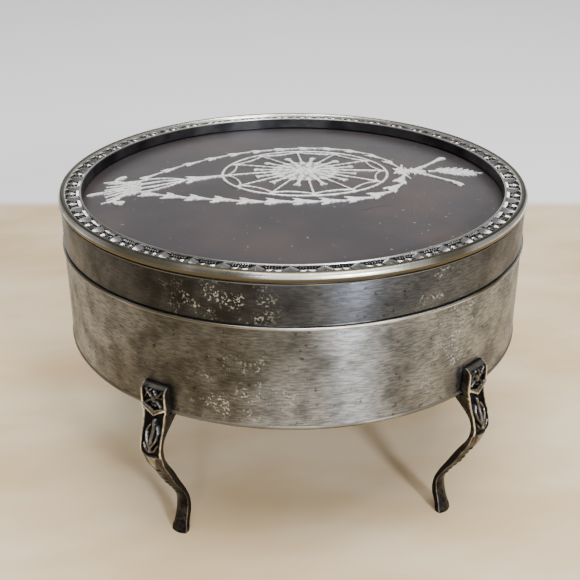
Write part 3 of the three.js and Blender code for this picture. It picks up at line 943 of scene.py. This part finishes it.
# ---- Cast legs ----
# Four castings from one mould, chased by hand: a square block soldered to the wall, a knee with a
# sunk leaf, a pointed tongue below it, and a slim shin and foot that turn out. Black in the hollows.
cast_silver, cast_shader, cast_flow = new_finish("cast silver", 1.0, 0.32)
cast_height = cast_flow.make("ShaderNodeAttribute", {"attribute_name": "raised"}, out=2)
cast_dirt = grain(cast_flow, 520, 4)
cast_dots = grain(cast_flow, 1700, 2).clamped(0.52, 0.66)
cast_shank = 1 - part_of(on_piece(cast_flow), 2).clamped(12 * MM, 21 * MM)
cast_worn = cast_height + (cast_dirt - 0.5) * 0.5 - cast_dots * 0.12 - cast_shank * 0.2
cast_tone = cast_flow.make(
    "ShaderNodeValToRGB",
    {"stops": (
        (0.28, (0.01, 0.01, 0.012)), (0.52, (0.075, 0.068, 0.062)),
        (0.72, (0.26, 0.235, 0.195)), (0.92, (0.9, 0.86, 0.78)),
    )},
    {"Fac": cast_worn},
)
feed(cast_tone, cast_shader, "Base Color")
feed(0.46 - cast_worn.clamped(0.2, 0.9) * 0.22, cast_shader, "Roughness")
bumped(cast_flow, cast_dirt + cast_dots * 0.3, cast_shader, 0.08 * MM, 0.5)

block_top = 33.4
leg_front = (
    (0, 41.0), (1.2, 40.6), (2.8, 40.1), (4.8, 39.6), (7, 39.6), (10, 41.2), (12.6, 43.1), (15, 44.4),
    (18, 46.2), (20, 46.9), (21.6, 47.3), (24, 46.7), (25.8, 45.9), (27.6, 45.4), (29, 45.3),
    (32.4, 45.25), (33.0, 44.9), (block_top, 44.2),
)
leg_back = (
    (0, 39.5), (1, 39.3), (4, 38.2), (6.6, 38.3), (9.2, 39.3), (12.3, 41.1), (15.8, 43.1),
    (19.6, 45.5), (22, 46.0), (23.8, 45.5), (25.3, 44.1), (27.2, 41.9), (27.7, 41.6),
)
leg_half = (
    (0, 1.55), (0.9, 1.6), (1.6, 1.42), (3, 1.28), (9, 1.3), (15, 1.65), (18, 1.95), (21, 2.15),
    (27, 2.2), (28.2, 2.3), (28.7, 2.5), (block_top, 2.45),
)


def read_off(table, height):
    """The value at a height of a line drawn smoothly through (height, value) points."""
    if height >= table[-1][0]:
        return table[-1][1]
    i = max(k for k, (z, value) in enumerate(table) if z <= height)
    (z0, v0), (z1, v1) = table[i], table[i + 1]
    before, after = table[max(i - 1, 0)], table[min(i + 2, len(table) - 1)]
    leave = (v1 - before[1]) / (z1 - before[0])
    arrive = (after[1] - v0) / (after[0] - z0)
    gap = z1 - z0
    t = (height - z0) / gap
    return (
        v0 * (2 * t**3 - 3 * t**2 + 1) + v1 * (3 * t**2 - 2 * t**3)
        + gap * (leave * (t**3 - 2 * t**2 + t) + arrive * (t**3 - t**2))
    )


def smooth_step(low, high, value):
    t = min(max((value - low) / (high - low), 0.0), 1.0)
    return t * t * (3 - 2 * t)


def ridge_along(across, height, path, width):
    """1 on a chased line and 0 beyond its width; the line is given by corner points."""
    here = Vector((across, height))
    best = width
    for first, second in zip(path, path[1:]):
        start, run = Vector(first), Vector(second) - Vector(first)
        share = min(max((here - start).dot(run) / run.length_squared, 0.0), 1.0)
        best = min(best, (here - start - run * share).length)
    return 1 - (best / width) ** 2


block_lines = (
    (((1.7, 32.6), (0.9, 31.6), (0.1, 30.9), (-0.9, 30.6), (-1.7, 29.9)), 0.3),
    (((-1.7, 32.6), (-0.9, 31.7), (-0.2, 31.0), (0.7, 30.4), (1.3, 29.6)), 0.3),
    (((0.1, 32.6), (0.4, 31.8), (1.2, 31.4), (1.75, 31.5)), 0.24),
    (((-0.6, 32.6), (-1.2, 32.1), (-1.75, 31.0)), 0.22),
    (((0.0, 31.3), (0.0, 30.5)), 0.5),
    (((-0.4, 29.9), (0.3, 29.7)), 0.3),
)
knee_lines = [([(0.0, 26.9), (0.1, 25.4), (0.0, 23.6), (0.0, 21.6)], 0.46)]
for side in (-1, 1):
    lobe = [(side * 0.2, 22.4), (side * 0.95, 23.6), (side * 1.2, 24.9), (side * 0.75, 25.9)]
    root = [(side * 0.2, 21.6), (side * 0.9, 21.9), (side * 1.4, 22.8)]
    knee_lines += [(lobe, 0.34), (root, 0.28)]
chevron = ((-2.5, 29.5), (0.0, 27.9), (2.5, 29.5))


def chased(across, height, half):
    """How far the chasing stands out, in mm, at a place on the front of the leg."""
    rim = half - abs(across)
    if height > 28.9 + 0.4 * abs(across):
        sunk = smooth_step(0.3, 0.5, rim) * smooth_step(33.0, 32.7, height)
        leaf = max(ridge_along(across, height, path, width) for path, width in block_lines)
        return 0.12 + sunk * (0.46 * leaf - 0.5)
    if height > 20.4:
        level = 0.2 * ridge_along(across, height, chevron, 0.34)
        sunk = smooth_step(0.25, 0.5, rim) * smooth_step(20.4, 21.0, height)
        sunk *= smooth_step(27.9, 27.3, height - 0.6 * abs(across))
        leaf = max(ridge_along(across, height, path, width) for path, width in knee_lines)
        return 0.1 + level + sunk * (0.55 * leaf - 0.5)
    if height > 16.4:
        tongue = 0.34 * (height - 16.2) ** 0.9
        return 0.26 * smooth_step(tongue, tongue - 0.3, abs(across)) - 0.06
    if height > 8.6:
        scallop = 0.16 + 0.12 * math.cos(2 * math.pi * height / 1.25)
        return scallop * (1 - smooth_step(0.1, 0.75, abs(across))) - 0.02
    return 0.1 * (1 - abs(across) / half)


def leg_slice(height, wall):
    """The outline of the leg at one height, as (across, outwards, raised), front first."""
    half = read_off(leg_half, height)
    front = read_off(leg_front, height)
    on_block = height > 27.8
    rounding = 0.32 * smooth_step(27.5, 22, height) + 0.06
    outline = []
    for j in range(31):
        across = half * (2 * j / 30 - 1)
        level = chased(across, height, half)
        edge_wear = 0.35 * smooth_step(0.86, 0.98, abs(across) / half)
        bulge = rounding * (across / half) ** 2
        outline.append((across, front - bulge + level, 0.5 + 1.05 * level + edge_wear))
    behind = wall + (0.45 if height < 28.9 else 0.05) if on_block else read_off(leg_back, height)
    side_front = front - rounding
    flank = [side_front + (behind - side_front) * k / 5 for k in (1, 2, 3, 4)]
    outline += [(half, outwards, 0.4) for outwards in flank]
    for j in range(9):
        across = half * (1 - j / 4)
        hollow = math.sqrt(behind**2 - across**2) if on_block else behind + 0.12 * abs(across / half) ** 3
        outline.append((across, hollow, 0.3))
    return outline + [(-half, outwards, 0.4) for outwards in reversed(flank)]


below_block = [0.12 * i for i in range(231)]
leg_levels = [*below_block, 27.79, 27.81, *[27.9 + 0.11 * i for i in range(50)], block_top]
leg_outlines = [leg_slice(height, wall_radius) for height in leg_levels]


def leg_mesh(azimuth):
    """The leg, turned to its place round the box."""
    built = bmesh.new()
    raised = built.verts.layers.float.new("raised")
    turn = Matrix.Rotation(math.radians(azimuth), 3, "Z")
    rings = []
    for height, outline in zip(leg_levels, leg_outlines):
        ring = []
        for across, outwards, level in outline:
            vertex = built.verts.new(turn @ Vector((across * MM, -outwards * MM, height * MM)))
            vertex[raised] = level
            ring.append(vertex)
        rings.append(ring)
    count = len(rings[0])
    for lower, upper in zip(rings, rings[1:]):
        for i in range(count):
            k = (i + 1) % count
            built.faces.new((lower[i], lower[k], upper[k], upper[i]))
    built.faces.new(reversed(rings[0]))
    built.faces.new(rings[-1])
    return built


corners = (("front_right", 38), ("back_right", 142), ("back_left", 218), ("front_left", 322))
for corner, azimuth in corners:
    leg = made(f"leg_cast_{corner}", leg_mesh(azimuth), cast_silver, crease=40)
    fitted(leg, "box", "cast_silver", f"leg_{corner}")

# ---- Inner bezel, keeper and hinge ----
# A thin collar of clean silver stands up inside the drum for the lid to close over. In the lid a
# sprung ring holds the shell from below. The hinge has five knuckles of tube on one hard-drawn pin.
bezel_silver = sheet_silver("bezel silver", colour(0.76, 0.74, 0.7), colour(0.42, 0.38, 0.3), 0.34)


def ring_like(name, node, inside, material, cut_up=None):
    """A turned ring with eased edges in the space of a CAD ring; its inner radius is given in mm."""
    low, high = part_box(node)
    outline = square_outline(inside, high.x / MM, low.z / MM, high.z / MM)
    ring = made(name, turned_mesh(eased(outline, 0.2)), material)
    if cut_up:
        notched(ring, notch_deep, cut_up)
    return ring


bezel_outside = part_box("inner_bezel")[1].x / MM
bezel = ring_like("inner_bezel_turned", "inner_bezel", bezel_outside - 0.8, bezel_silver, 4 * MM)
fitted(bezel, "box", "bezel_silver", "inner_bezel")
keeper = ring_like("panel_keeper_sprung", "panel_keeper", panel_radius - 0.9, bezel_silver)
fitted(keeper, "lid", "bezel_silver", "panel_keeper")

knuckle_count, knuckle_play = 5, 0.15
barrel_half = pin_high.x / MM
knuckle_length = 2 * barrel_half / knuckle_count


def across_hinge(built):
    """Turns a mesh made about the upright axis to lie along the hinge line."""
    turn = Matrix.Translation((0, hinge_y, hinge_z)) @ Matrix.Rotation(math.pi / 2, 4, "Y")
    bmesh.ops.transform(built, matrix=turn, verts=built.verts)
    return built


def hinge_leaf(which, up):
    """The knuckles of one leaf with the webs and the bar that join them."""
    whole = bmesh.new()
    parts = [block_mesh(
        (-barrel_half * MM, hinge_y - 0.55 * MM, hinge_z + up * 1.2 * MM),
        (barrel_half * MM, hinge_y + 0.25 * MM, hinge_z + up * 2.0 * MM),
    )]
    for i in range(which, knuckle_count, 2):
        start = -barrel_half + i * knuckle_length + knuckle_play
        end = start + knuckle_length - 2 * knuckle_play
        tube = eased(square_outline(0.55, 0.9, start, end), 0.12)
        parts.append(across_hinge(turned_mesh(tube, 48)))
        parts.append(block_mesh(
            (start * MM, hinge_y - 0.5 * MM, hinge_z + up * 0.7 * MM),
            (end * MM, hinge_y + 0.2 * MM, hinge_z + up * 1.4 * MM),
        ))
    for part in parts:
        bmesh.ops.recalc_face_normals(part, faces=part.faces)
        step = settled("part", part)
        whole.from_mesh(step)
        bpy.data.meshes.remove(step)
    return whole


for name, body, which, up in (("drum", "box", 0, -1), ("lid", "lid", 1, 1)):
    hinge = made(f"hinge_knuckles_{name}", hinge_leaf(which, up), drum_silver)
    edge = hinge.modifiers.new("eased", "BEVEL")
    edge.width = 0.08 * MM
    edge.segments = 2
    fitted(hinge, body, "drum_silver", f"hinge_leaf_{name}")
pin_outline = eased(square_outline(0, 0.4, -barrel_half, barrel_half), 0.15)
hinge_pin = made("hinge_pin_turned", across_hinge(turned_mesh(pin_outline, 32)), wire_silver)
fitted(hinge_pin, "box", "wire_silver", "hinge_pin")

# ---- Velvet ----
# Wine-red cotton velvet: a stuffed pad on the floor of the well, a thinner one under the lid, and a
# card-backed strip round the wall, all glued in and pressed a little flat where they touch silver.
velvet, velvet_shader, velvet_flow = new_finish(
    "velvet", 0.0, 0.94, Sheen_Weight=0.9, Sheen_Roughness=0.4, Sheen_Tint=colour(0.9, 0.45, 0.5)
)
nap = grain(velvet_flow, 130, 5).clamped(0.2, 0.8)
pile = grain(velvet_flow, 5200, 2)
feed(nap.mixed(colour(0.085, 0.007, 0.018), colour(0.135, 0.014, 0.03)), velvet_shader, "Base Color")
bumped(velvet_flow, pile + nap * 0.6, velvet_shader, 0.12 * MM, 0.6)


def swollen(name, profile, voxel, cap):
    """A turned pad blown up by cloth simulation; the work is done twenty times larger."""
    scale = 20.0
    built = turned_mesh(profile, 96)
    bmesh.ops.scale(built, vec=(scale, scale, scale), verts=built.verts)
    pad = made(name, built, velvet, crease=80)
    even = pad.modifiers.new("even", "REMESH")
    even.mode = "VOXEL"
    even.voxel_size = voxel * MM * scale
    mesh = shown_mesh(pad)
    pad.modifiers.clear()
    pad.data = mesh
    before = [vertex.co.copy() for vertex in mesh.vertices]
    after = before
    cloth = pad.modifiers.new("cloth", "CLOTH")
    cloth.settings.use_pressure = True
    cloth.settings.uniform_pressure_force = 4.0
    cloth.settings.effector_weights.gravity = 0.0
    cloth.point_cache.frame_start, cloth.point_cache.frame_end = 1, 20
    for moment in range(1, 21):
        scene.frame_set(moment)
    blown = pad.evaluated_get(bpy.context.evaluated_depsgraph_get()).to_mesh()
    after = [vertex.co.copy() for vertex in blown.vertices]
    pad.modifiers.clear()
    scene.frame_set(1)
    limit = cap * MM * scale
    for vertex, start, end in zip(pad.data.vertices, before, after):
        move = end - start
        if move.length > limit:
            move *= limit / move.length
        vertex.co = (start + move) / scale
    pad.data.shade_smooth()
    finer = pad.modifiers.new("finer", "SUBSURF")
    finer.levels = finer.render_levels = 1
    return pad


def pad_profile(node, inset, squeeze):
    """The outline of a pad a little smaller than its CAD disc, with rounded edges."""
    low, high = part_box(node)
    bottom, top = low.z / MM + squeeze, high.z / MM - squeeze
    return eased(square_outline(0, high.x / MM - inset, bottom, top), 0.5 * (top - bottom), 5)


for name, node, body, squeeze, voxel, cap in (
    ("well_pad", "well_cushion", "box", 0.35, 0.8, 0.35),
    ("lid_pad", "lid_lining", "lid", 0.15, 0.6, 0.14),
):
    pad = swollen(name, pad_profile(node, 0.5, squeeze), voxel, cap)
    fitted(pad, body, "velvet", node)

strip_low, strip_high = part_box("well_lining")
strip_outside, strip_thick = strip_high.x / MM, 0.8
strip_inside = strip_outside - strip_thick
strip_outline = square_outline(strip_inside, strip_outside, strip_low.z / MM, strip_high.z / MM)
built = turned_mesh(eased(strip_outline, strip_thick / 2, 6))
bmesh.ops.subdivide_edges(
    built, edges=[e for e in built.edges if e.calc_length() > 5 * MM], cuts=10, use_grid_fill=True
)
for vertex in built.verts:
    swell = noise.noise(vertex.co * 160) * 0.12 * MM
    inwards = Vector((-vertex.co.x, -vertex.co.y, 0)).normalized()
    if vertex.co.xy.length < (strip_outside - 0.5) * MM:
        vertex.co += inwards * max(swell, 0.0)
strip = made("well_wall_strip", built, velvet, crease=80)
fitted(strip, "box", "velvet", "well_lining")
